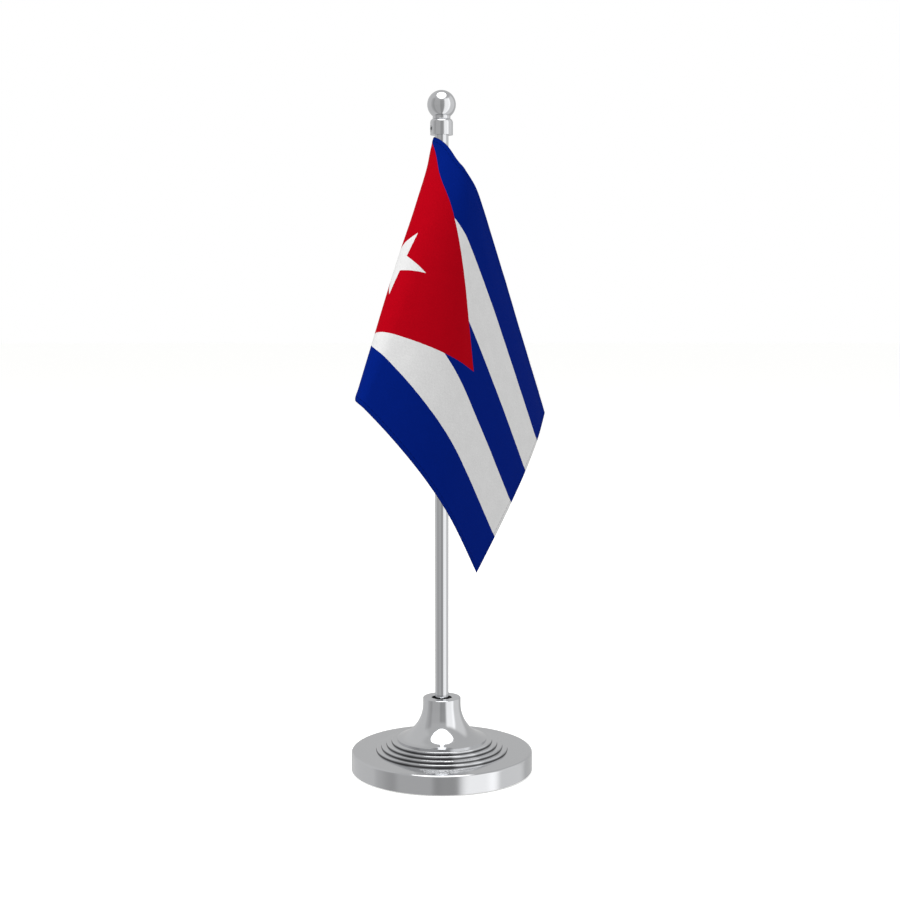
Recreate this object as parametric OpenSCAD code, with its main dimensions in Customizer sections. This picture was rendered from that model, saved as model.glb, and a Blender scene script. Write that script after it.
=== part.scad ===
// Desk flag stand: weighted round base with a trumpet socket, plain pole, ball finial and one cloth flag.
// Millimetres, +Z up. The origin is the centre of the felt pad's underside, where the stand rests.
// The flag hangs from the pole's top and trails to the left and right of it; -Y is the front.

/* [Stand] */
// Overall height, from the table to the top of the ball
stand_h = 300; // [240:1:420]
// Diameter of the base across its rim
base_d = 81; // [72:0.5:120]
// Height of the base's flat top above the table
base_top_z = 9; // [8.5:0.1:14]
// Thickness of the pressed steel cover
shell_wall = 1.2; // [0.8:0.1:1.5]
// Radius of the rounding on the rim's upper edge
rim_round = 1.1; // [0.5:0.1:1.4]
// How far the felt stands below the cover's rim
pad_stand_off = 0.6; // [0.3:0.1:1]
// Thickness of the felt pad
pad_t = 1.5; // [1:0.1:2]
// Gap between the ballast and the cover, at the side and above
ballast_gap = 0.3; // [0.2:0.05:0.8]

/* [Ring steps] */
// Number of ring steps between the flat top and the socket's seat
step_count = 4; // [1:1:5]
// Width of the innermost step outside the socket's foot
seat_ledge = 2.4; // [1.6:0.1:3]
// Width of each step's tread
step_tread = 2.3; // [1.6:0.1:2.6]
// Height of each step's riser
step_rise = 1.2; // [0.6:0.1:1.4]
// Radius of the small rounding on each step's edge
step_round = 0.35; // [0.2:0.05:0.5]

/* [Socket] */
// Open gap between the pole and the socket's bore
bore_gap = 1.5; // [0.8:0.05:2]
// Width of the socket's rim, from the bore to the outside
socket_rim_w = 3.95; // [3:0.05:5.5]
// Radius of the trumpet curve between rim and foot
trumpet_r = 16; // [13:0.1:20]
// Height of the straight neck above the trumpet curve
neck_h = 3.1; // [0.8:0.1:4]
// Radius of the socket's foot where it sits on the seat
socket_foot_r = 20; // [17:0.1:22]
// Height of the foot's edge above the seat
foot_lip = 0.6; // [0.5:0.1:3]
// Thickness of the solid web between the pole and the clamp screw
socket_web = 1.5; // [1:0.1:2.5]
// Depth of the bush's top face below the socket's rim
bush_recess = 3.5; // [1:0.1:4]
// Width of the chamfer at the bore's mouth
bore_chamfer = 0.3; // [0.1:0.05:0.5]

/* [Clamp screw] */
// Thread diameter of the clamp screw
screw_d = 6; // [5:0.5:6]
// How far the screw's head stands out past its thread
head_overhang = 2; // [1.5:0.1:3]
// Height of the clamp screw's head
screw_head_h = 2.4; // [2:0.1:2.6]
// Width across flats of the key socket in the head
screw_key = 4; // [3:0.5:5]
// Depth of the thread in the socket's foot
screw_grip = 5.2; // [4:0.1:7]
// How far the washer stands out past the screw's head
washer_margin = 1; // [0.5:0.1:2]
// Thickness of the washer
washer_t = 1; // [0.6:0.1:1.2]

/* [Pole and finial] */
// Diameter of the pole
pole_d = 6; // [5:0.1:6.4]
// Wall thickness of the pole's tube
pole_wall = 0.8; // [0.5:0.1:1.2]
// Length of the plug in the pole's lower end
plug_h = 9; // [6:0.5:20]
// Diameter of the finial's ball
ball_d = 12.4; // [9:0.1:16]
// Wall of the collar round the pole
collar_wall = 1.87; // [1.5:0.01:3]
// Height of the collar's straight part
collar_h = 5.3; // [4:0.1:9]
// Height of the rounded shoulder between collar and neck
shoulder_h = 1.6; // [1.4:0.1:3]
// Height of the neck below the ball
finial_neck_h = 1.2; // [0.8:0.1:3]
// How far the neck below the ball stands out past the pole
neck_overhang = 0.85; // [0.7:0.05:1.4]
// Thread diameter of the stud between collar and ball
stud_d = 3; // [2:0.5:3]
// Length of the stud inside the ball
stud_in_ball = 5.5; // [4:0.1:6]
// Thread diameter of the collar's set screw
set_screw_d = 2.6; // [2:0.1:3]
// Direction of the set screw round the pole, 180 is left and 270 is the front
set_screw_azimuth = 202; // [0:1:360]

/* [Flag] */
// Width of the flag along the pole
flag_hoist = 110; // [80:1:140]
// Length of the flag away from the pole, as a multiple of its width
flag_ratio = 1.5; // [1.3:0.1:1.7]
// Gap between the collar's lower edge and the flag's upper edge
flag_drop = 0.7; // [0.5:0.1:5]
// Thickness of the cloth
cloth_t = 0.24; // [0.2:0.02:0.4]
// Wall of the sewn sleeve round the pole
sleeve_wall = 0.15; // [0.1:0.05:0.3]
// Distance of the sleeve's ends from the flag's upper and lower edges
sleeve_inset = 6; // [0:0.5:20]

/* [Fits] */
// Radial running clearance of pole in bush, collar and sleeve
run_fit = 0.05; // [0.02:0.01:0.1]
// Radial clearance of a screw or stud in its thread
thread_fit = 0.04; // [0.02:0.01:0.1]
// Radial gap between the sleeve and the cloth sewn to it
sleeve_gap = 0.05; // [0.02:0.01:0.1]

/* [Hidden] */

round_fn = 120;
edge_fn = 32;
hex_fn = 6;
eps = 0.01;

// Plain clearances between parts that do not turn or slide
screw_play = 0.3;
washer_play = 0.2;
counterbore_play = 0.4;
tip_play = 0.5;
pad_margin = 0.4;
stud_tip_play = 0.3;
stud_foot_play = 0.5;

// The screw's head lies this far inside the ballast, and its key socket takes this share of the head
head_recess = 0.6;
key_share = 0.6;

// Solid web between the top of the collar's bore and its shoulder
collar_web = 0.6;

// Base stack, from the table upwards
base_r = base_d / 2;
shell_bottom_z = pad_stand_off;
ballast_r = base_r - shell_wall - ballast_gap;
ballast_top_z = base_top_z - shell_wall - ballast_gap;
seat_z = base_top_z + step_count * step_rise;
seat_under_z = seat_z - shell_wall;
step_inner_r = socket_foot_r + seat_ledge;
step_outer_r = step_inner_r + (step_count - 1) * step_tread;
boss_r = step_inner_r - shell_wall - ballast_gap;
screw_r = screw_d / 2;
screw_clear_r = screw_r + screw_play;
screw_head_r = screw_r + head_overhang;
washer_r = screw_head_r + washer_margin;
washer_bore_r = screw_r + washer_play;
head_low_z = pad_t + head_recess;
head_top_z = head_low_z + screw_head_h;
washer_top_z = head_top_z + washer_t;
counterbore_r = washer_r + counterbore_play;
key_depth = screw_head_h * key_share;
screw_tip_z = seat_z + screw_grip;
thread_end_z = screw_tip_z + tip_play;

// Socket: a circular arc runs from the neck down and out to the foot's edge
pole_r = pole_d / 2;
bore_r = pole_r + bore_gap;
rim_r = bore_r + socket_rim_w;
trumpet_cx = rim_r + trumpet_r;
foot_edge_z = seat_z + foot_lip;
trumpet_top_z = foot_edge_z + sqrt(pow(trumpet_r, 2) - pow(trumpet_cx - socket_foot_r, 2));
socket_top_z = trumpet_top_z + neck_h;
socket_floor_z = thread_end_z + socket_web;
rim_edge = 0.5;
bush_top_z = socket_top_z - bush_recess;

// Pole and finial
pole_bottom_z = socket_floor_z;
ball_r = ball_d / 2;
ball_z = stand_h - ball_r;
finial_neck_r = pole_r + neck_overhang;
collar_r = pole_r + run_fit + collar_wall;
ball_seat_z = ball_z - sqrt(pow(ball_r, 2) - pow(finial_neck_r, 2));
shoulder_top_z = ball_seat_z - finial_neck_h;
collar_top_z = shoulder_top_z - shoulder_h;
collar_bottom_z = collar_top_z - collar_h;
shoulder_in = collar_r - finial_neck_r;
shoulder_arc = (pow(shoulder_h, 2) + pow(shoulder_in, 2)) / (2 * shoulder_in);
pole_top_z = shoulder_top_z - collar_web;
stud_bottom_z = pole_top_z + stud_foot_play;
stud_top_z = ball_seat_z + stud_in_ball;
set_screw_z = collar_bottom_z + collar_h / 2;
set_screw_r = set_screw_d / 2;
set_screw_sink = 0.1;
set_screw_key_r = 0.75;
set_screw_key_depth = 0.8;

// Flag: the sleeve hugs the pole, and the cloth leaves it behind the pole
flag_top_z = collar_bottom_z - flag_drop;
flag_len = flag_hoist * flag_ratio;
sleeve_top_z = flag_top_z - sleeve_inset;
sleeve_low_z = flag_top_z - flag_hoist + sleeve_inset;
sleeve_in_r = pole_r + run_fit;
sleeve_out_r = sleeve_in_r + sleeve_wall;
cloth_r = sleeve_out_r + sleeve_gap + cloth_t / 2;
leave_azimuth = 98.5;

// Lines that the cloth bends along, from the pole to the free edge. Each row holds where the line
// crosses the upper edge, in multiples of cloth_r, where it crosses the lower edge, as a share of the
// flag's width, and how far the cloth has turned by then.
bend_lines = [
    [0.00, 0.000, 0],
    [0.43, 0.013, 24],
    [0.76, 0.366, 47],
    [1.51, 0.566, 91],
    [2.72, 0.619, 138],
    [8.05, 0.640, 185],
    [8.75, 1.300, 229],
    [9.90, 3.500, 237],
    [31.0, 5.900, 242]
];
bends_per_row = 12;
cloth_cols = 66;
cloth_rows = 26;

module ring(r_out, r_in, z_low, z_high) {
    translate([0, 0, z_low])
        difference() {
            cylinder(r = r_out, h = z_high - z_low, $fn = round_fn);
            translate([0, 0, -eps])
                cylinder(r = r_in, h = z_high - z_low + 2 * eps, $fn = round_fn);
        }
}

module rod(r, z_low, z_high) {
    translate([0, 0, z_low])
        cylinder(r = r, h = z_high - z_low, $fn = round_fn);
}

// Upright cylinder whose upper edge is rounded
module rounded_disc(r, z_low, z_high, edge) {
    rotate_extrude($fn = round_fn)
        union() {
            translate([0, z_low])
                square([r - edge, z_high - z_low]);
            translate([0, z_low])
                square([r, z_high - z_low - edge]);
            translate([r - edge, z_high - edge])
                circle(r = edge, $fn = edge_fn);
        }
}

module base_outer() {
    rounded_disc(base_r, shell_bottom_z, base_top_z, rim_round);
    for (i = [0 : step_count - 1])
        rounded_disc(step_outer_r - i * step_tread, base_top_z - shell_wall / 2,
            base_top_z + (i + 1) * step_rise, step_round);
}

module base_hollow() {
    rod(base_r - shell_wall, shell_bottom_z - eps, base_top_z - shell_wall);
    for (i = [0 : step_count - 1])
        rod(step_outer_r - i * step_tread - shell_wall, shell_bottom_z - eps,
            base_top_z + (i + 1) * step_rise - shell_wall);
}

module base_shell() {
    color("silver")
        difference() {
            base_outer();
            base_hollow();
            rod(screw_clear_r, seat_under_z - eps, seat_z + eps);
        }
}

module ballast_disc() {
    color("dimgray")
        difference() {
            union() {
                rod(ballast_r, pad_t, ballast_top_z);
                rod(boss_r, pad_t, seat_under_z);
            }
            rod(screw_clear_r, pad_t - eps, seat_under_z + eps);
            rod(counterbore_r, pad_t - eps, washer_top_z);
        }
}

module felt_pad() {
    color("black")
        rod(ballast_r - pad_margin, 0, pad_t);
}

module clamp_screw() {
    color("gray")
        difference() {
            union() {
                rod(screw_head_r, head_low_z, head_top_z);
                rod(screw_r, head_top_z - eps, screw_tip_z);
            }
            translate([0, 0, head_low_z - eps])
                cylinder(r = screw_key / 2 / cos(30), h = key_depth, $fn = hex_fn);
        }
}

module lock_washer() {
    color("silver")
        ring(washer_r, washer_bore_r, head_top_z, washer_top_z);
}

module socket_profile() {
    difference() {
        translate([0, seat_z])
            square([socket_foot_r, trumpet_top_z - seat_z]);
        translate([trumpet_cx, trumpet_top_z])
            circle(r = trumpet_r, $fn = round_fn);
    }
    translate([0, trumpet_top_z])
        square([rim_r, neck_h - rim_edge]);
    translate([0, socket_top_z - rim_edge])
        square([rim_r - rim_edge, rim_edge]);
    translate([rim_r - rim_edge, socket_top_z - rim_edge])
        circle(r = rim_edge, $fn = edge_fn);
}

module socket() {
    color("silver")
        difference() {
            rotate_extrude($fn = round_fn)
                socket_profile();
            rod(bore_r, socket_floor_z, socket_top_z + eps);
            translate([0, 0, socket_top_z - bore_chamfer])
                cylinder(r1 = bore_r, r2 = bore_r + bore_chamfer + eps, h = bore_chamfer + eps,
                    $fn = round_fn);
            rod(screw_r + thread_fit, seat_z - eps, thread_end_z);
        }
}

module pole_bush() {
    color("black")
        ring(bore_r - eps, pole_r + run_fit, socket_floor_z, bush_top_z);
}

module pole_tube() {
    color("silver")
        ring(pole_r, pole_r - pole_wall, pole_bottom_z, pole_top_z);
}

module foot_plug() {
    color("dimgray")
        rod(pole_r - pole_wall - eps, pole_bottom_z, pole_bottom_z + plug_h);
}

module set_screw_axis() {
    rotate([0, 0, set_screw_azimuth])
        translate([0, 0, set_screw_z])
            rotate([0, 90, 0])
                children();
}

// Collar, a shoulder that rounds in from it, and a short neck under the ball
module collar_profile() {
    translate([0, collar_bottom_z])
        square([collar_r, collar_h]);
    intersection() {
        translate([0, collar_top_z - eps])
            square([collar_r, shoulder_h + eps]);
        translate([collar_r - shoulder_arc, collar_top_z])
            circle(r = shoulder_arc, $fn = round_fn);
    }
    translate([0, collar_top_z - eps])
        square([finial_neck_r, ball_seat_z - collar_top_z + eps]);
}

module finial_collar() {
    color("silver")
        difference() {
            rotate_extrude($fn = round_fn)
                collar_profile();
            rod(pole_r + run_fit, collar_bottom_z - eps, pole_top_z);
            rod(stud_d / 2 + thread_fit, pole_top_z - eps, ball_seat_z + eps);
            set_screw_axis()
                cylinder(r = set_screw_r + thread_fit, h = collar_r + 1, $fn = round_fn);
        }
}

module finial_stud() {
    color("gray")
        rod(stud_d / 2, stud_bottom_z, stud_top_z);
}

module finial_ball() {
    color("silver")
        difference() {
            translate([0, 0, ball_z])
                sphere(r = ball_r, $fn = round_fn);
            translate([0, 0, ball_seat_z - ball_r])
                cylinder(r = ball_r, h = ball_r, $fn = round_fn);
            rod(stud_d / 2 + thread_fit, ball_seat_z - eps, stud_top_z + stud_tip_play);
        }
}

module set_screw() {
    tip_x = pole_r + run_fit;
    head_x = collar_r - set_screw_sink;
    color("gray")
        set_screw_axis()
            difference() {
                translate([0, 0, tip_x])
                    cylinder(r = set_screw_r, h = head_x - tip_x, $fn = round_fn);
                translate([0, 0, head_x - set_screw_key_depth])
                    cylinder(r = set_screw_key_r, h = set_screw_key_depth + eps, $fn = hex_fn);
            }
}

module flag_sleeve() {
    color("firebrick")
        ring(sleeve_out_r, sleeve_in_r, sleeve_low_z, sleeve_top_z);
}

// The cloth is a flat sheet folded a little along one bend line after another, so it keeps its size.
// A fold is a 4 x 4 matrix that takes a point (along, down, off the cloth) of the flat flag into place.
function turn_about(axis, deg) =
    let (
        k = axis / norm(axis),
        c = cos(deg),
        s = sin(deg),
        q = 1 - c
    ) [
        [c + k.x * k.x * q, k.x * k.y * q - k.z * s, k.x * k.z * q + k.y * s],
        [k.y * k.x * q + k.z * s, c + k.y * k.y * q, k.y * k.z * q - k.x * s],
        [k.z * k.x * q - k.y * s, k.z * k.y * q + k.x * s, c + k.z * k.z * q]
    ];

function place(fold, p) = fold[1] + fold[0] * p;

function column(col, t) = lookup(t, [for (i = [0 : len(bend_lines) - 1]) [i, bend_lines[i][col]]]);

bend_steps = (len(bend_lines) - 1) * bends_per_row;
bend_top = [for (i = [0 : bend_steps]) cloth_r * column(0, i / bends_per_row)];
bend_low = [for (i = [0 : bend_steps]) flag_hoist * column(1, i / bends_per_row)];
bend_turn = [for (i = [0 : bend_steps]) column(2, i / bends_per_row)];

// The first fold lies along the pole: columns are the directions along, down and off the cloth
first_fold = [
    [
        [-sin(leave_azimuth), 0, -cos(leave_azimuth)],
        [cos(leave_azimuth), 0, -sin(leave_azimuth)],
        [0, -1, 0]
    ],
    [cloth_r * cos(leave_azimuth), cloth_r * sin(leave_azimuth), flag_top_z]
];

function next_fold(fold, i) =
    let (
        upper = place(fold, [bend_top[i], 0, 0]),
        lower = place(fold, [bend_low[i], flag_hoist, 0]),
        turn = turn_about(upper - lower, bend_turn[i] - bend_turn[i - 1])
    ) [turn * fold[0], upper + turn * (fold[1] - upper)];

folds = [for (i = 0, fold = first_fold; i <= bend_steps;
    i = i + 1, fold = i <= bend_steps ? next_fold(fold, i) : fold) fold];

// How many bend lines lie before a point of the flat flag
function bends_before(u, v) =
    let (s = v / flag_hoist)
    len([for (i = [0 : bend_steps]) if (bend_top[i] * (1 - s) + bend_low[i] * s <= u) i]);

function cloth_point(u, v, off) = place(folds[max(0, bends_before(u, v) - 1)], [u, v, off]);

// Columns lie closer together near the pole, where the cloth turns most
function cloth_u(i) = flag_len * pow(i / cloth_cols, 1.35);

module flag_cloth() {
    side = (cloth_cols + 1) * (cloth_rows + 1);
    points = [for (off = [cloth_t / 2, -cloth_t / 2], i = [0 : cloth_cols], j = [0 : cloth_rows])
        cloth_point(cloth_u(i), flag_hoist * j / cloth_rows, off)];
    function at(i, j) = i * (cloth_rows + 1) + j;
    front = [for (i = [0 : cloth_cols - 1], j = [0 : cloth_rows - 1], half = [0, 1])
        half == 0 ? [at(i, j), at(i + 1, j), at(i + 1, j + 1)]
            : [at(i, j), at(i + 1, j + 1), at(i, j + 1)]];
    back = [for (f = front) [f[2] + side, f[1] + side, f[0] + side]];
    rim = concat(
        [for (i = [0 : cloth_cols]) at(i, 0)],
        [for (j = [1 : cloth_rows]) at(cloth_cols, j)],
        [for (i = [1 : cloth_cols]) at(cloth_cols - i, cloth_rows)],
        [for (j = [1 : cloth_rows - 1]) at(0, cloth_rows - j)]
    );
    edge = [for (k = [0 : len(rim) - 1], half = [0, 1])
        let (a = rim[k], b = rim[(k + 1) % len(rim)])
        half == 0 ? [b, a, a + side] : [b, a + side, b + side]];
    color("firebrick")
        polyhedron(points, concat(front, back, edge), convexity = 10);
}

felt_pad();
ballast_disc();
base_shell();
clamp_screw();
lock_washer();
socket();
pole_bush();
pole_tube();
foot_plug();
finial_collar();
finial_stud();
finial_ball();
set_screw();
flag_sleeve();
flag_cloth();
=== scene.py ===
import math

import bpy
import numpy as np
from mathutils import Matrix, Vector, noise


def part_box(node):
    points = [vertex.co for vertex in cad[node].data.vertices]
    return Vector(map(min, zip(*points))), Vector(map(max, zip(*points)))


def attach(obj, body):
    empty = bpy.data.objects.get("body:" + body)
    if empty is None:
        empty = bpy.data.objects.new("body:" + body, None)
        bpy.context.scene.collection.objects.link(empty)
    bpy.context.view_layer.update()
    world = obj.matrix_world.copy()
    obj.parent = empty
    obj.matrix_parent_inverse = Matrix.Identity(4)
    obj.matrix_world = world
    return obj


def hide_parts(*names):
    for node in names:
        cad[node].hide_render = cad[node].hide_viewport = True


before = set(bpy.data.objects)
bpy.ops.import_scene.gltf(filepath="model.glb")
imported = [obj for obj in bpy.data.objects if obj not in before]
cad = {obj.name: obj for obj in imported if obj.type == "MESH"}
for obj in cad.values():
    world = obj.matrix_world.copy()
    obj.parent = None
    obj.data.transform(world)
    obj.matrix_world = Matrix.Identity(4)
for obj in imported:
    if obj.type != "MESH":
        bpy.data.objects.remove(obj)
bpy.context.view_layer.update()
mm = 0.001


def hexColour(text):
    parts = [int(text[i:i + 2], 16) / 255 for i in (1, 3, 5)]
    linear = [c / 12.92 if c <= 0.04045 else ((c + 0.055) / 1.055) ** 2.4 for c in parts]
    return (*linear, 1.0)


def addNode(tree, kind, inputs=None, **settings):
    node = tree.nodes.new("ShaderNode" + kind)
    for name, value in settings.items():
        setattr(node, name, value)
    for key, value in (inputs or {}).items():
        if isinstance(value, bpy.types.NodeSocket):
            tree.links.new(value, node.inputs[key])
        else:
            node.inputs[key].default_value = value
    return node


def newMaterial(name):
    material = bpy.data.materials.new(name)
    material.use_nodes = True
    tree = material.node_tree
    tree.nodes.clear()
    shader = addNode(tree, "BsdfPrincipled")
    addNode(tree, "OutputMaterial", {"Surface": shader.outputs["BSDF"]})
    return material, tree, shader


def dress(nodeName, material):
    data = cad[nodeName].data
    data.materials.clear()
    data.materials.append(material)


def newMesh(name, points, faces, material, smooth=True):
    data = bpy.data.meshes.new(name)
    data.from_pydata([tuple(p) for p in points], [], [tuple(f) for f in faces])
    data.materials.append(material)
    data.polygons.foreach_set("use_smooth", [smooth] * len(data.polygons))
    data.update()
    piece = bpy.data.objects.new(name, data)
    bpy.context.scene.collection.objects.link(piece)
    return piece


cameraSet = {"place": (0.00366, -0.6835, 0.2097), "lens": 62.24, "pitchDown": 5.5}

cameraData = bpy.data.cameras.new("camera")
cameraData.lens = cameraSet["lens"]
cameraData.sensor_width = 36
cameraData.clip_start = 0.02
cameraData.clip_end = 60
camera = bpy.data.objects.new("camera", cameraData)
camera.location = cameraSet["place"]
camera.rotation_euler = (math.radians(90 - cameraSet["pitchDown"]), 0, 0)
bpy.context.scene.collection.objects.link(camera)
bpy.context.scene.camera = camera
bpy.context.scene.view_settings.view_transform = "Standard"
print("camera ready")


chromeSet = {
    "colour": "#d0d1d3",
    "roughness": (0.05, 0.13),
    "hazeSize": 14.0,       # mm, soft patches left by polishing and handling
    "lineSize": 0.35,       # mm, turned polishing lines, coarser than the real 0.05 mm
    "lineDepth": 0.0015,
    "waveSize": 9.0,        # mm, slow ripple under the plating
    "waveDepth": 0.012,
}

# Ring steps of the cover in mm: innermost riser, distance to the next, how many; lowest tread and rise;
# width and height of the painted shade line in each corner, and the share of the chrome's colour left in it
stepSet = {"first": 22.4, "pitch": 2.3, "count": 4, "width": 0.42, "paintedShade": 0.2,
           "tread": 9.0, "rise": 1.2, "high": 0.7}


# Chrome plate over polished metal: mirror-like, neutral grey, with faint turned lines and a slight haze.
# A stepped piece gets a painted shade line at the foot of each riser: its colour is darkened in the corner
# to stand in for the shade there.
def chromePlate(name, turned, stepped=False):
    material, tree, shader = newMaterial(name)
    place = addNode(tree, "TexCoord").outputs["Object"]
    axes = addNode(tree, "SeparateXYZ", {"Vector": place})
    flat = addNode(tree, "CombineXYZ", {"X": axes.outputs["X"], "Y": axes.outputs["Y"]})
    radius = addNode(tree, "VectorMath", {0: flat.outputs["Vector"]}, operation="LENGTH")
    lathe = addNode(tree, "CombineXYZ", {"X": radius.outputs["Value"], "Z": axes.outputs["Z"]})
    lineScale = 1 / (chromeSet["lineSize"] * mm)
    lines = addNode(tree, "TexNoise",
                    {"Vector": lathe.outputs["Vector"], "Scale": lineScale, "Detail": 2.0})
    haze = addNode(tree, "TexNoise",
                   {"Vector": place, "Scale": 1 / (chromeSet["hazeSize"] * mm), "Detail": 5.0,
                    "Roughness": 0.6})
    wave = addNode(tree, "TexNoise",
                   {"Vector": place, "Scale": 1 / (chromeSet["waveSize"] * mm), "Detail": 1.0})
    smooth, hazy = chromeSet["roughness"]
    rough = addNode(tree, "MapRange",
                    {"Value": haze.outputs["Fac"], "From Min": 0.35, "From Max": 0.75,
                     "To Min": smooth, "To Max": hazy})
    height = addNode(tree, "MapRange",
                     {"Value": wave.outputs["Fac"], "To Min": 0.0, "To Max": chromeSet["waveDepth"]})
    fine = addNode(tree, "MapRange",
                   {"Value": lines.outputs["Fac"], "To Min": 0.0,
                    "To Max": chromeSet["lineDepth"] * turned})
    total = addNode(tree, "Math", {0: height.outputs["Result"], 1: fine.outputs["Result"]})
    bump = addNode(tree, "Bump", {"Height": total.outputs["Value"], "Strength": 1.0, "Distance": mm})
    shader.inputs["Metallic"].default_value = 1.0
    base = hexColour(chromeSet["colour"])
    shader.inputs["Base Color"].default_value = base
    if stepped:
        # painted shade: the chrome's colour is darkened in the corner at the foot of each riser
        out = addNode(tree, "Math", {0: radius.outputs["Value"], 1: 1 / mm, 2: 0.1 - stepSet["first"]},
                      operation="MULTIPLY_ADD").outputs[0]
        fromRiser = addNode(tree, "Math", {0: out, 1: stepSet["pitch"]}, operation="MODULO").outputs[0]
        corner = addNode(tree, "MapRange", {"Value": fromRiser, "From Min": stepSet["width"] * 0.5,
                                            "From Max": stepSet["width"], "To Min": 1.0, "To Max": 0.0},
                         interpolation_type="SMOOTHSTEP").outputs["Result"]
        inside = addNode(tree, "Math", {0: out, 1: 0.0}, operation="GREATER_THAN").outputs[0]
        within = addNode(tree, "Math", {0: out, 1: stepSet["pitch"] * (stepSet["count"] - 0.5)},
                         operation="LESS_THAN").outputs[0]
        ring = addNode(tree, "Math", {0: inside, 1: within}, operation="MULTIPLY").outputs[0]
        above = addNode(tree, "Math", {0: axes.outputs["Z"], 1: 1 / mm, 2: 0.05 - stepSet["tread"]},
                        operation="MULTIPLY_ADD").outputs[0]
        upRiser = addNode(tree, "Math", {0: above, 1: stepSet["rise"]}, operation="MODULO").outputs[0]
        foot = addNode(tree, "MapRange", {"Value": upRiser, "From Min": stepSet["high"] * 0.5,
                                          "From Max": stepSet["high"], "To Min": 1.0, "To Max": 0.0},
                       interpolation_type="SMOOTHSTEP").outputs["Result"]
        low = addNode(tree, "Math", {0: corner, 1: foot}, operation="MULTIPLY").outputs[0]
        paintedShade = addNode(tree, "Math", {0: low, 1: ring}, operation="MULTIPLY").outputs[0]
        shaded = tuple(c * stepSet["paintedShade"] for c in base[:3]) + (1.0,)
        tone = addNode(tree, "Mix", {"Factor": paintedShade, "A": base, "B": shaded}, data_type="RGBA")
        tree.links.new(tone.outputs["Result"], shader.inputs["Base Color"])
    tree.links.new(rough.outputs["Result"], shader.inputs["Roughness"])
    tree.links.new(bump.outputs["Normal"], shader.inputs["Normal"])
    return material


steelSet = {
    "zinc": {"colour": "#9ea2a6", "roughness": (0.28, 0.45), "grain": 0.8},
    "stainless": {"colour": "#b9bbbd", "roughness": (0.2, 0.35), "grain": 0.4},
}


# Machined steel: zinc plate gives a milky grey, stainless a brighter one; both show a fine grain.
def machinedSteel(name, kind):
    settings = steelSet[kind]
    material, tree, shader = newMaterial(name)
    place = addNode(tree, "TexCoord").outputs["Object"]
    grain = addNode(tree, "TexNoise",
                    {"Vector": place, "Scale": 1 / (settings["grain"] * mm), "Detail": 4.0})
    low, high = settings["roughness"]
    rough = addNode(tree, "MapRange", {"Value": grain.outputs["Fac"], "To Min": low, "To Max": high})
    base = hexColour(settings["colour"])
    tone = addNode(tree, "Mix", {"Factor": grain.outputs["Fac"], "A": base,
                                 "B": tuple(c * 0.75 for c in base[:3]) + (1.0,)}, data_type="RGBA")
    bump = addNode(tree, "Bump", {"Height": grain.outputs["Fac"], "Strength": 0.3, "Distance": 0.02 * mm})
    shader.inputs["Metallic"].default_value = 1.0
    tree.links.new(tone.outputs["Result"], shader.inputs["Base Color"])
    tree.links.new(rough.outputs["Result"], shader.inputs["Roughness"])
    tree.links.new(bump.outputs["Normal"], shader.inputs["Normal"])
    return material


dress("base_shell", chromePlate("chrome-plated pressed steel cover", 1, stepped=True))
dress("socket", chromePlate("chrome-plated steel socket", 1))
dress("pole_tube", chromePlate("chrome-plated steel tube", 0.5))
dress("finial_collar", chromePlate("chrome-plated brass collar", 1))
dress("finial_ball", chromePlate("chrome-plated brass ball", 1))
for nodeName in ("clamp_screw", "lock_washer", "finial_stud"):
    dress(nodeName, machinedSteel("zinc-plated steel, " + nodeName.replace("_", " "), "zinc"))
dress("set_screw", machinedSteel("stainless steel set screw", "stainless"))
print("metals ready")


castSet = {"dark": "#2e2f31", "light": "#45474a", "sand": 0.9}   # sand: grain of the mould, mm


# Cast iron from a sand mould: dark grey, matt, pitted by the sand.
def castIron(name):
    material, tree, shader = newMaterial(name)
    place = addNode(tree, "TexCoord").outputs["Object"]
    pits = addNode(tree, "TexNoise", {"Vector": place, "Scale": 1 / (castSet["sand"] * mm),
                                      "Detail": 6.0, "Roughness": 0.65})
    tone = addNode(tree, "Mix", {"Factor": pits.outputs["Fac"], "A": hexColour(castSet["dark"]),
                                 "B": hexColour(castSet["light"])}, data_type="RGBA")
    bump = addNode(tree, "Bump", {"Height": pits.outputs["Fac"], "Strength": 0.8, "Distance": 0.15 * mm})
    shader.inputs["Metallic"].default_value = 0.6
    shader.inputs["Roughness"].default_value = 0.7
    tree.links.new(tone.outputs["Result"], shader.inputs["Base Color"])
    tree.links.new(bump.outputs["Normal"], shader.inputs["Normal"])
    return material


nylonSet = {"colour": "#141416", "bloom": "#232327", "mottle": 1.6}   # mottle in mm


# Moulded nylon: near black with a soft sheen and a faint bloom.
def mouldedNylon(name):
    material, tree, shader = newMaterial(name)
    place = addNode(tree, "TexCoord").outputs["Object"]
    mottle = addNode(tree, "TexNoise", {"Vector": place, "Scale": 1 / (nylonSet["mottle"] * mm),
                                        "Detail": 3.0})
    tone = addNode(tree, "Mix", {"Factor": mottle.outputs["Fac"], "A": hexColour(nylonSet["colour"]),
                                 "B": hexColour(nylonSet["bloom"])}, data_type="RGBA")
    rough = addNode(tree, "MapRange", {"Value": mottle.outputs["Fac"], "To Min": 0.38, "To Max": 0.52})
    bump = addNode(tree, "Bump", {"Height": mottle.outputs["Fac"], "Strength": 0.2, "Distance": 0.05 * mm})
    shader.inputs["IOR"].default_value = 1.53
    tree.links.new(tone.outputs["Result"], shader.inputs["Base Color"])
    tree.links.new(rough.outputs["Result"], shader.inputs["Roughness"])
    tree.links.new(bump.outputs["Normal"], shader.inputs["Normal"])
    return material


feltSet = {"dark": "#101013", "light": "#34343a", "fibre": 0.7, "clump": 4.0}   # sizes in mm


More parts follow.
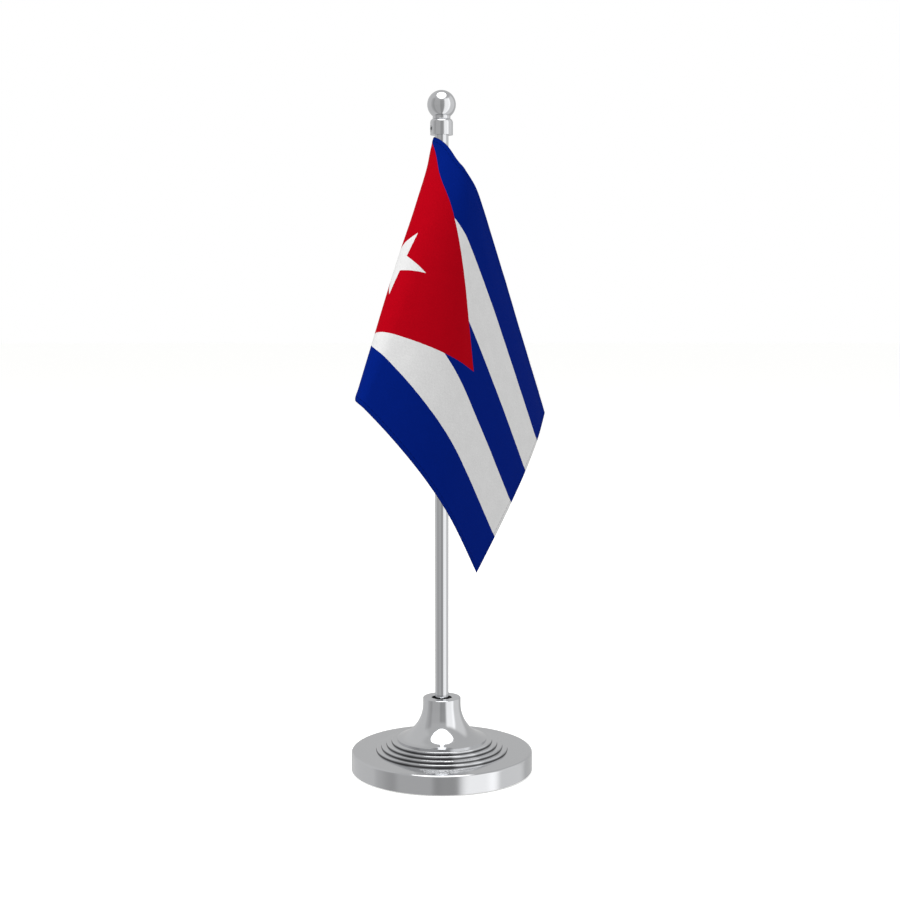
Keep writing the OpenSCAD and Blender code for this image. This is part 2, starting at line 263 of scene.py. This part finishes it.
# Pressed felt: soft black with lighter fibres lying every way, no gloss.
def pressedFelt(name):
    material, tree, shader = newMaterial(name)
    place = addNode(tree, "TexCoord").outputs["Object"]
    clumps = addNode(tree, "TexNoise", {"Vector": place, "Scale": 1 / (feltSet["clump"] * mm),
                                        "Detail": 3.0})
    fibres = addNode(tree, "TexNoise", {"Vector": place, "Scale": 1 / (feltSet["fibre"] * mm),
                                        "Detail": 8.0, "Roughness": 0.75, "Distortion": 2.5})
    mixed = addNode(tree, "Math", {0: clumps.outputs["Fac"], 1: fibres.outputs["Fac"]},
                    operation="MULTIPLY")
    tone = addNode(tree, "Mix", {"Factor": mixed.outputs["Value"], "A": hexColour(feltSet["dark"]),
                                 "B": hexColour(feltSet["light"])}, data_type="RGBA")
    bump = addNode(tree, "Bump", {"Height": fibres.outputs["Fac"], "Strength": 0.9,
                                  "Distance": 0.25 * mm})
    shader.inputs["Roughness"].default_value = 0.95
    shader.inputs["Sheen Weight"].default_value = 0.4
    shader.inputs["Sheen Roughness"].default_value = 0.6
    tree.links.new(tone.outputs["Result"], shader.inputs["Base Color"])
    tree.links.new(bump.outputs["Normal"], shader.inputs["Normal"])
    return material


dress("ballast_disc", castIron("cast iron ballast"))
dress("pole_bush", mouldedNylon("moulded nylon bush"))
dress("foot_plug", mouldedNylon("moulded nylon plug"))
dress("felt_pad", pressedFelt("pressed wool felt"))
print("other solids ready")


flagSet = {
    "hoist": 110.0,           # mm, width along the pole
    "fly": 165.0,             # mm, length away from it
    "wrapRadius": 3.37,       # mm, middle of the cloth where it leaves the pole
    "leaveAzimuth": 98.5,     # degrees
    "cloth": 0.22,            # mm, thickness
    "hemWidth": 2.6,
    "hemExtra": 0.12,
    "columns": 250,
    "rows": 150,
    "columnPower": 1.25,      # columns lie closer together near the pole
    "foldsPerRow": 60,
    "givesFrom": 3.0, "givesOver": 8.0,      # mm, where the cloth starts to give, past the sleeve's seam
    "ripple": 0.10,           # mm, slight unevenness of the hanging cloth
    "rippleFrom": 4.0, "rippleOver": 25.0,
    "edgeRound": 0.3,         # mm, rounding of the cut edge
    "hemStep": 0.5,
}

# Where the cloth bends: crossing on the upper edge (in wrap radii), on the lower edge (in hoists), turn
bendLines = [
    (0.00, 0.000, 0),
    (0.43, 0.013, 24),
    (0.76, 0.366, 47),
    (1.51, 0.566, 91),
    (2.72, 0.619, 138),
    (8.05, 0.640, 185),
    (8.75, 1.300, 229),
    (9.90, 3.500, 237),
    (31.0, 5.900, 242),
]

# Where the weave gives a little instead of folding: along, down, reach along, reach down, shift (all mm)
weaveGives = [
    (27, 0, 9, 12, (-2.4, 0.0, -0.9)),
    (12, 20, 8, 22, (1.2, 1.0, 0.6)),
    (16, 48, 9, 18, (2.0, 1.8, -1.0)),
    (165, 0, 40, 40, (0.9, 0.2, -1.8)),
]

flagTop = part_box("flag_cloth")[1].z / mm
uvUnit = 200          # mm of flat cloth to one unit of its "flat" map


def foldLines():
    table = np.array(bendLines, float)
    steps = np.arange((len(table) - 1) * flagSet["foldsPerRow"] + 1) / flagSet["foldsPerRow"]
    rowsAt = np.arange(len(table))
    upper = np.interp(steps, rowsAt, table[:, 0]) * flagSet["wrapRadius"]
    lower = np.interp(steps, rowsAt, table[:, 1]) * flagSet["hoist"]
    turn = np.radians(np.interp(steps, rowsAt, table[:, 2]))
    return upper, lower, turn


def turnAbout(axis, angle):
    k = axis / np.linalg.norm(axis)
    cross = np.array([[0, -k[2], k[1]], [k[2], 0, -k[0]], [-k[1], k[0], 0]])
    return np.eye(3) + math.sin(angle) * cross + (1 - math.cos(angle)) * cross @ cross


def clothFolds():
    upper, lower, turn = foldLines()
    azimuth = math.radians(flagSet["leaveAzimuth"])
    along = np.array([-math.sin(azimuth), math.cos(azimuth), 0])
    out = -np.array([math.cos(azimuth), math.sin(azimuth), 0])
    basis = np.column_stack([along, (0, 0, -1), out])
    shift = -out * flagSet["wrapRadius"] + np.array([0, 0, flagTop])
    folds = [(basis, shift)]
    last = 0.0
    for a, b, angle in zip(upper, lower, turn):
        basis, shift = folds[-1]
        high = basis @ np.array([a, 0, 0]) + shift
        low = basis @ np.array([b, flagSet["hoist"], 0]) + shift
        spin = turnAbout(high - low, angle - last)
        folds.append((spin @ basis, high + spin @ (shift - high)))
        last = angle
    return upper, lower, folds


upperAt, lowerAt, foldList = clothFolds()
foldBasis = np.array([f[0] for f in foldList])
foldShift = np.array([f[1] for f in foldList])


def smoothStep(value):
    value = np.clip(value, 0, 1)
    return value * value * (3 - 2 * value)


# Places of flat points (along, down) in mm, and the cloth's normal there
def drape(along, down):
    share = down / flagSet["hoist"]
    lines = upperAt[None, :] * (1 - share[:, None]) + lowerAt[None, :] * share[:, None]
    index = (lines <= along[:, None]).sum(1)
    basis = foldBasis[index]
    flat = np.stack([along, down], 1)
    points = np.einsum("nij,nj->ni", basis[:, :, :2], flat) + foldShift[index]
    held = smoothStep((along - flagSet["givesFrom"]) / flagSet["givesOver"])
    for alongAt, downAt, reachAlong, reachDown, shift in weaveGives:
        far = ((along - alongAt) / reachAlong) ** 2 + ((down - downAt) / reachDown) ** 2
        points = points + (np.exp(-far) * held)[:, None] * np.array(shift)
    return points, basis[:, :, 2]


def flagMesh(material):
    hoist, fly = flagSet["hoist"], flagSet["fly"]
    columns, rows = flagSet["columns"], flagSet["rows"]
    alongAt = fly * np.linspace(0, 1, columns + 1) ** flagSet["columnPower"]
    downAt = hoist * np.linspace(0, 1, rows + 1)
    along, down = [g.ravel() for g in np.meshgrid(alongAt, downAt, indexing="ij")]
    points, normals = drape(along, down)
    # long slow waves down the cloth, and finer ones at half their height
    ripple = np.array([noise.noise((a * 0.05, d * 0.013, 3.1))
                       + 0.5 * noise.noise((a * 0.15, d * 0.04, 8.2))
                       for a, d in zip(along, down)])
    held = smoothStep((along - flagSet["rippleFrom"]) / flagSet["rippleOver"])
    points = points + normals * (ripple * held * flagSet["ripple"])[:, None]
    edge = np.minimum.reduce([down, hoist - down, fly - along])
    hem = 1 - smoothStep((edge - flagSet["hemWidth"]) / flagSet["hemStep"])
    rounding = np.sqrt(np.clip(edge / flagSet["edgeRound"], 0.02, 1))
    half = (flagSet["cloth"] / 2) * rounding
    front = points + normals * half[:, None]
    back = points - normals * (half + flagSet["hemExtra"] * hem * rounding)[:, None]
    count = len(points)
    index = np.arange(count).reshape(columns + 1, rows + 1)
    a, b, c, d = index[:-1, :-1], index[1:, :-1], index[1:, 1:], index[:-1, 1:]
    facesFront = np.stack([a, b, c, d], -1).reshape(-1, 4)
    facesBack = facesFront[:, ::-1] + count
    rim = np.concatenate([index[:, 0], index[-1, 1:], index[-2::-1, -1], index[0, -2:0:-1]])
    after = np.roll(rim, -1)
    facesRim = np.stack([after, rim, rim + count, after + count], -1)
    faces = np.concatenate([facesFront, facesBack, facesRim])
    piece = newMesh("flag", np.concatenate([front, back]) * mm, faces.tolist(), material)
    layer = piece.data.uv_layers.new(name="flat")
    flat = np.stack([along, down], 1)
    flat = np.concatenate([flat, flat]) / uvUnit
    corner = np.zeros(len(piece.data.loops), int)
    piece.data.loops.foreach_get("vertex_index", corner)
    layer.data.foreach_set("uv", flat[corner].ravel())
    return piece


printSet = {
    "blue": "#031a6b",
    "red": "#9c0312",
    "white": "#c8c8c8",
    "start": 2.3,           # mm, the print starts at the sleeve's seam
    "apex": 0.866,          # triangle's point, in hoists from the seam
    "starAt": 0.2865,       # star's centre, in hoists from the seam
    "starDown": 0.489,      # and from the upper edge
    "starRadius": 0.142,
    "bleedScale": 2.2, "bleed": 0.3,    # dye runs this many mm along the threads at a colour's edge
    "thread": 0.45,         # mm, drawn coarser than the real 0.12 mm so that it shows
    "slub": 6.0,            # mm, length of the thicker places in the yarn
    "weaveRange": (0.12, 0.40),
    "weaveShade": (0.90, 1.07), "slubShade": (0.975, 1.02),
    "roughness": (0.62, 0.42),
    "stitchIn": 1.9, "stitchWidth": 0.12, "stitchPitch": 2.2, "stitchGap": 0.3,   # mm, along the hems
}


# Satin-woven polyester, dye printed: nearly matt, deep in colour, with a fine grain of light and dark
# threads; the print has five stripes, a triangle and a five-pointed star.
def wovenSatin(name):
    material, tree, shader = newMaterial(name)
    link = tree.links.new
    flat = addNode(tree, "UVMap", uv_map="flat").outputs["UV"]
    sized = addNode(tree, "VectorMath", {0: flat, 1: (uvUnit, uvUnit, 0)}, operation="MULTIPLY")
    millimetres = sized.outputs["Vector"]
    bleed = addNode(tree, "TexNoise", {"Vector": millimetres, "Scale": printSet["bleedScale"],
                                       "Detail": 2.0})
    nudge = addNode(tree, "VectorMath", {0: bleed.outputs["Color"], 1: (0.5, 0.5, 0.5)},
                    operation="SUBTRACT")
    run = (printSet["bleed"], printSet["bleed"], 0)
    soft = addNode(tree, "VectorMath", {0: nudge.outputs["Vector"], 1: run, 2: millimetres},
                   operation="MULTIPLY_ADD")
    axes = addNode(tree, "SeparateXYZ", {"Vector": soft.outputs["Vector"]})
    fromSeam = addNode(tree, "Math", {0: axes.outputs["X"], 1: printSet["start"]},
                       operation="SUBTRACT").outputs[0]
    u = addNode(tree, "Math", {0: fromSeam, 1: flagSet["hoist"]}, operation="DIVIDE").outputs[0]
    v = addNode(tree, "Math", {0: axes.outputs["Y"], 1: flagSet["hoist"]}, operation="DIVIDE").outputs[0]
    # stripes: every second of five is white
    fifths = addNode(tree, "Math", {0: v, 1: 5.0}, operation="MULTIPLY").outputs[0]
    half = addNode(tree, "Math", {0: fifths, 1: 0.5}, operation="MULTIPLY").outputs[0]
    part = addNode(tree, "Math", {0: half}, operation="FRACT").outputs[0]
    isWhite = addNode(tree, "Math", {0: part, 1: 0.5}, operation="GREATER_THAN").outputs[0]
    # triangle on the hoist
    middle = addNode(tree, "Math", {0: v, 1: 0.5}, operation="SUBTRACT").outputs[0]
    away = addNode(tree, "Math", {0: middle}, operation="ABSOLUTE").outputs[0]
    reach = addNode(tree, "Math", {0: u, 1: -0.5 / printSet["apex"], 2: 0.5},
                    operation="MULTIPLY_ADD").outputs[0]
    isTriangle = addNode(tree, "Math", {0: away, 1: reach}, operation="LESS_THAN").outputs[0]
    # star: distance from its centre, folded into one half point
    acrossStar = addNode(tree, "Math", {0: u, 1: printSet["starAt"]}, operation="SUBTRACT").outputs[0]
    upStar = addNode(tree, "Math", {0: printSet["starDown"], 1: v}, operation="SUBTRACT").outputs[0]
    angle = addNode(tree, "Math", {0: acrossStar, 1: upStar}, operation="ARCTAN2").outputs[0]
    folded = addNode(tree, "Math", {0: angle, 1: math.pi / 5}, operation="PINGPONG").outputs[0]
    acrossUp = addNode(tree, "CombineXYZ", {"X": acrossStar, "Y": upStar}).outputs["Vector"]
    far = addNode(tree, "VectorMath", {0: acrossUp}, operation="LENGTH").outputs["Value"]
    cosine = addNode(tree, "Math", {0: folded}, operation="COSINE").outputs[0]
    sine = addNode(tree, "Math", {0: folded}, operation="SINE").outputs[0]
    outer = printSet["starRadius"]
    inner = outer * (math.sqrt(5) - 1) ** 2 / 4
    edgeX = inner * math.sin(math.pi / 5)
    edgeY = outer - inner * math.cos(math.pi / 5)
    towardTip = addNode(tree, "Math", {0: cosine, 1: edgeX}, operation="MULTIPLY").outputs[0]
    beside = addNode(tree, "Math", {0: sine, 1: edgeY, 2: towardTip}, operation="MULTIPLY_ADD").outputs[0]
    reached = addNode(tree, "Math", {0: far, 1: beside}, operation="MULTIPLY").outputs[0]
    isStar = addNode(tree, "Math", {0: reached, 1: outer * edgeX}, operation="LESS_THAN").outputs[0]
    white = hexColour(printSet["white"])
    stripes = addNode(tree, "Mix", {"Factor": isWhite, "A": hexColour(printSet["blue"]), "B": white},
                      data_type="RGBA").outputs["Result"]
    withTriangle = addNode(tree, "Mix", {"Factor": isTriangle, "A": stripes,
                                         "B": hexColour(printSet["red"])},
                           data_type="RGBA").outputs["Result"]
    withStar = addNode(tree, "Mix", {"Factor": isStar, "A": withTriangle, "B": white},
                       data_type="RGBA").outputs["Result"]
    # threads: warp along the fly, weft along the hoist, each drawn as noise stretched along its thread
    perThread = 1 / printSet["thread"]
    alongFly = (0.35 * perThread, 1.3 * perThread, 0)
    alongHoist = (1.3 * perThread, 0.45 * perThread, 0)
    warpPlace = addNode(tree, "VectorMath", {0: millimetres, 1: alongFly}, operation="MULTIPLY")
    weftPlace = addNode(tree, "VectorMath", {0: millimetres, 1: alongHoist}, operation="MULTIPLY")
    warp = addNode(tree, "TexNoise", {"Vector": warpPlace.outputs["Vector"], "Scale": 1.0,
                                      "Detail": 3.0, "Roughness": 0.6})
    weft = addNode(tree, "TexNoise", {"Vector": weftPlace.outputs["Vector"], "Scale": 1.0,
                                      "Detail": 3.0, "Roughness": 0.6})
    weave = addNode(tree, "Math", {0: warp.outputs["Fac"], 1: weft.outputs["Fac"]},
                    operation="MULTIPLY").outputs[0]
    slub = addNode(tree, "TexNoise", {"Vector": millimetres, "Scale": 1 / printSet["slub"], "Detail": 4.0})
    thin, thick = printSet["weaveRange"]
    dark, light = printSet["weaveShade"]
    shade = addNode(tree, "MapRange", {"Value": weave, "From Min": thin, "From Max": thick,
                                       "To Min": dark, "To Max": light}).outputs["Result"]
    darkSlub, lightSlub = printSet["slubShade"]
    tint = addNode(tree, "MapRange", {"Value": slub.outputs["Fac"], "From Min": 0.3, "From Max": 0.7,
                                      "To Min": darkSlub, "To Max": lightSlub}).outputs["Result"]
    level = addNode(tree, "Math", {0: shade, 1: tint}, operation="MULTIPLY").outputs[0]
    levels = addNode(tree, "CombineXYZ", {"X": level, "Y": level, "Z": level}).outputs["Vector"]
    printed = addNode(tree, "Mix", {"Factor": 1.0, "A": withStar, "B": levels}, data_type="RGBA",
                      blend_type="MULTIPLY").outputs["Result"]
    matt, smooth = printSet["roughness"]
    rough = addNode(tree, "MapRange", {"Value": weave, "From Min": thin, "From Max": thick,
                                       "To Min": matt, "To Max": smooth}).outputs["Result"]
    # stitches along the hems: short dashes of thread, standing out a little in the bump; painted shade
    # halves their colour
    plain = addNode(tree, "SeparateXYZ", {"Vector": millimetres})
    fromSides = addNode(tree, "Math", {0: plain.outputs["Y"], 1: flagSet["hoist"] / 2},
                        operation="PINGPONG").outputs[0]
    fromEnd = addNode(tree, "Math", {0: flagSet["fly"], 1: plain.outputs["X"]},
                      operation="SUBTRACT").outputs[0]
    fromEdge = addNode(tree, "Math", {0: fromSides, 1: fromEnd}, operation="MINIMUM").outputs[0]
    onLine = addNode(tree, "Math", {0: fromEdge, 1: printSet["stitchIn"], 2: printSet["stitchWidth"]},
                     operation="COMPARE").outputs[0]
    seam = addNode(tree, "Math", {0: plain.outputs["X"], 1: plain.outputs["Y"]}).outputs[0]
    step = addNode(tree, "Math", {0: seam, 1: printSet["stitchPitch"] / 2}, operation="PINGPONG").outputs[0]
    dash = addNode(tree, "Math", {0: step, 1: printSet["stitchGap"]}, operation="GREATER_THAN").outputs[0]
    stitch = addNode(tree, "Math", {0: onLine, 1: dash}, operation="MULTIPLY").outputs[0]
    # painted shade: the cloth's colour is halved on each stitch dash
    stitchPaintedShade = addNode(tree, "Math", {0: stitch, 1: -0.5, 2: 1.0}, operation="MULTIPLY_ADD").outputs[0]
    stitchPaintedShadeLevels = addNode(tree, "CombineXYZ", {"X": stitchPaintedShade, "Y": stitchPaintedShade, "Z": stitchPaintedShade}).outputs["Vector"]
    printed = addNode(tree, "Mix", {"Factor": 1.0, "A": printed, "B": stitchPaintedShadeLevels}, data_type="RGBA",
                      blend_type="MULTIPLY").outputs["Result"]
    relief = addNode(tree, "Math", {0: stitch, 1: 1.5, 2: weave}, operation="MULTIPLY_ADD").outputs[0]
    bump = addNode(tree, "Bump", {"Height": relief, "Strength": 0.5, "Distance": 0.12 * mm})
    link(printed, shader.inputs["Base Color"])
    link(rough, shader.inputs["Roughness"])
    link(bump.outputs["Normal"], shader.inputs["Normal"])
    shader.inputs["Specular IOR Level"].default_value = 0.003
    return material


satin = wovenSatin("printed woven satin polyester")
flag = flagMesh(satin)
print("flag draped:", len(flag.data.polygons), "faces")


sleeveSet = {
    "sides": 72, "rows": 200,
    "inset": 6.0,             # mm, from the flag's upper and lower edges
    "inside": 3.06, "outside": 3.2,
    "flatRadius": 3.1,        # mm, radius at which the strip is laid out flat for its print
    "endRound": 0.15,         # mm, how far the outer wall stops short of the sleeve's ends
    "lip": 0.04, "lipStep": 0.1,
    "pucker": 0.035,          # mm, depth of the small gathers from the seam
    "puckerLong": 0.55, "puckerRound": 0.8, "puckerBias": 0.6,
}


# Sewn sleeve round the pole: a doubled tube of the same cloth with small puckers from its seam
def sleeveMesh(material):
    sides, rows = sleeveSet["sides"], sleeveSet["rows"]
    high, low = sleeveSet["inset"], flagSet["hoist"] - sleeveSet["inset"]
    points, faces, flat = [], [], []
    outside, inside = sleeveSet["outside"], sleeveSet["inside"]
    endRound, lip, lipStep = sleeveSet["endRound"], sleeveSet["lip"], sleeveSet["lipStep"]
    puckerLong, puckerRound = sleeveSet["puckerLong"], sleeveSet["puckerRound"]
    profile = [(outside, v) for v in np.linspace(high + endRound, low - endRound, rows + 1)]
    profile += [(inside + lip, low), (inside, low - lipStep)]
    profile += [(inside, high + lipStep), (inside + lip, high)]
    for radius, down in profile:
        for s in range(sides):
            angle = 2 * math.pi * s / sides
            r = radius
            if radius == outside:
                gather = noise.noise((down * puckerLong, math.cos(angle) * puckerRound,
                                      math.sin(angle) * puckerRound))
                r += sleeveSet["pucker"] * (gather - sleeveSet["puckerBias"])
            points.append((r * math.cos(angle), r * math.sin(angle), flagTop - down))
            flat.append((-abs(math.pi - angle) * sleeveSet["flatRadius"], down))
    ringCount = len(profile)
    for k in range(ringCount):
        for s in range(sides):
            a, b = k * sides + s, k * sides + (s + 1) % sides
            c, d = ((k + 1) % ringCount) * sides + (s + 1) % sides, ((k + 1) % ringCount) * sides + s
            faces.append((a, d, c, b))
    piece = newMesh("flag_sleeve_sewn", np.array(points) * mm, faces, material)
    layer = piece.data.uv_layers.new(name="flat")
    corner = np.zeros(len(piece.data.loops), int)
    piece.data.loops.foreach_get("vertex_index", corner)
    layer.data.foreach_set("uv", (np.array(flat)[corner] / uvUnit).ravel())
    return piece


sleeve = sleeveMesh(satin)
print("sleeve sewn:", len(sleeve.data.polygons), "faces")


# Floor and light
stageSet = {
    "floor": "#e6e6e4",
    "floorGlow": 0.45,
    "floorSize": 14.0,        # m
    "backdrop": 1.0,          # brightness seen directly
    "level": 0.60, "below": 0.58,            # brightness above and below the horizon, in reflections
    # soft panels: azimuth from the front (right is +), half width, soft edge, highest elevation, gain
    "panels": [
        (-120, 30, 20, 60, 0.10),
        (-76, 8, 14, 40, -0.12),
        (-35, 25, 14, 30, -0.04),
        (5, 8, 12, 30, -0.17),
        (50, 14, 18, 42, 0.72),
        (95, 20, 20, 45, 0.28),
    ],
    "panelFade": 6,           # degrees, soft upper edge of every panel
    "boxHeight": 0.15,        # m, the point that the area lights face
    # area lights: name, azimuth, elevation, distance, width, height, brightness, seen in the chrome
    "boxes": [
        ("key softbox", -50, 22, 1.4, 0.7, 0.7, 8.0, False),
        ("overhead softbox", 0, 76, 1.15, 1.1, 1.35, 1.9, True),
    ],
}


def softbox(name, azimuth, elevation, distance, width, height, brightness, reflected):
    light = bpy.data.lights.new(name, "AREA")
    light.shape = "ELLIPSE"
    light.size, light.size_y = width, height
    light.energy = brightness * math.pi * width * height
    box = bpy.data.objects.new(name, light)
    a, e = math.radians(azimuth), math.radians(elevation)
    toward = Vector((math.sin(a) * math.cos(e), -math.cos(a) * math.cos(e), math.sin(e)))
    box.location = Vector((0, 0, stageSet["boxHeight"])) + toward * distance
    box.rotation_euler = toward.to_track_quat("Z", "Y").to_euler()
    box.visible_glossy = reflected
    bpy.context.scene.collection.objects.link(box)


for settings in stageSet["boxes"]:
    softbox(*settings)

world = bpy.data.worlds.new("studio")
bpy.context.scene.world = world
world.use_nodes = True
sky = world.node_tree
sky.nodes.clear()


direction = addNode(sky, "TexCoord").outputs["Generated"]
skyAxes = addNode(sky, "SeparateXYZ", {"Vector": direction})
height = skyAxes.outputs["Z"]
level = addNode(sky, "MapRange", {"Value": height, "From Min": -0.2, "From Max": 0.1,
                                  "To Min": stageSet["below"], "To Max": stageSet["level"]},
                interpolation_type="SMOOTHSTEP").outputs["Result"]
plan = addNode(sky, "CombineXYZ", {"X": skyAxes.outputs["X"], "Y": skyAxes.outputs["Y"]})
heading = addNode(sky, "VectorMath", {0: plan.outputs["Vector"]}, operation="NORMALIZE").outputs["Vector"]
for azimuth, halfWidth, edge, high, gain in stageSet["panels"]:
    a = math.radians(azimuth)
    facing = addNode(sky, "VectorMath", {0: heading, 1: (math.sin(a), -math.cos(a), 0)},
                     operation="DOT_PRODUCT").outputs["Value"]
    edgeAt = math.cos(math.radians(halfWidth + edge))
    fullAt = math.cos(math.radians(halfWidth))
    lobe = addNode(sky, "MapRange", {"Value": facing, "From Min": edgeAt, "From Max": fullAt,
                                     "To Min": 0.0, "To Max": gain},
                   interpolation_type="SMOOTHSTEP").outputs["Result"]
    fadeFrom = math.sin(math.radians(high - stageSet["panelFade"]))
    fadeTo = math.sin(math.radians(high + stageSet["panelFade"]))
    top = addNode(sky, "MapRange", {"Value": height, "From Min": fadeFrom, "From Max": fadeTo,
                                    "To Min": 1.0, "To Max": 0.0},
                  interpolation_type="SMOOTHSTEP").outputs["Result"]
    part = addNode(sky, "Math", {0: lobe, 1: top}, operation="MULTIPLY").outputs[0]
    level = addNode(sky, "Math", {0: level, 1: part}).outputs[0]
# straight behind the object the studio is white; reflections and light come from the grey one
seen = addNode(sky, "LightPath").outputs["Is Camera Ray"]
level = addNode(sky, "Mix", {"Factor": seen, "A": level, "B": stageSet["backdrop"]}).outputs["Result"]
backgroundNode = addNode(sky, "Background", {"Color": (1, 1, 1, 1), "Strength": level})
addNode(sky, "OutputWorld", {"Surface": backgroundNode.outputs["Background"]})


# Opal acrylic light table: a pale matt sheet lit from below, so that the ground stays white
def opalAcrylic(name):
    material, tree, shader = newMaterial(name)
    place = addNode(tree, "TexCoord").outputs["Object"]
    tooth = addNode(tree, "TexNoise", {"Vector": place, "Scale": 1 / (6 * mm), "Detail": 3.0})
    base = hexColour(stageSet["floor"])
    tone = addNode(tree, "Mix", {"Factor": tooth.outputs["Fac"], "A": base,
                                 "B": tuple(c * 0.985 for c in base[:3]) + (1.0,)}, data_type="RGBA")
    shader.inputs["Roughness"].default_value = 0.9
    shader.inputs["Emission Color"].default_value = (1, 1, 1, 1)
    shader.inputs["Emission Strength"].default_value = stageSet["floorGlow"]
    tree.links.new(tone.outputs["Result"], shader.inputs["Base Color"])
    return material


side = stageSet["floorSize"] / 2
floor = newMesh("floor", [(-side, -side, 0), (side, -side, 0), (side, side, 0), (-side, side, 0)],
                [(0, 1, 2, 3)], opalAcrylic("opal acrylic table"), smooth=False)
floor.visible_glossy = False      # the lit table would wash out the chrome and the flag's shaded side
floor.visible_diffuse = False
print("stage ready")


for piece in (flag, sleeve):
    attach(piece, "flag")
    piece.visible_glossy = False     # the chrome shows the studio, without the cloth's colours
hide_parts("flag_cloth")
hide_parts("flag_sleeve")
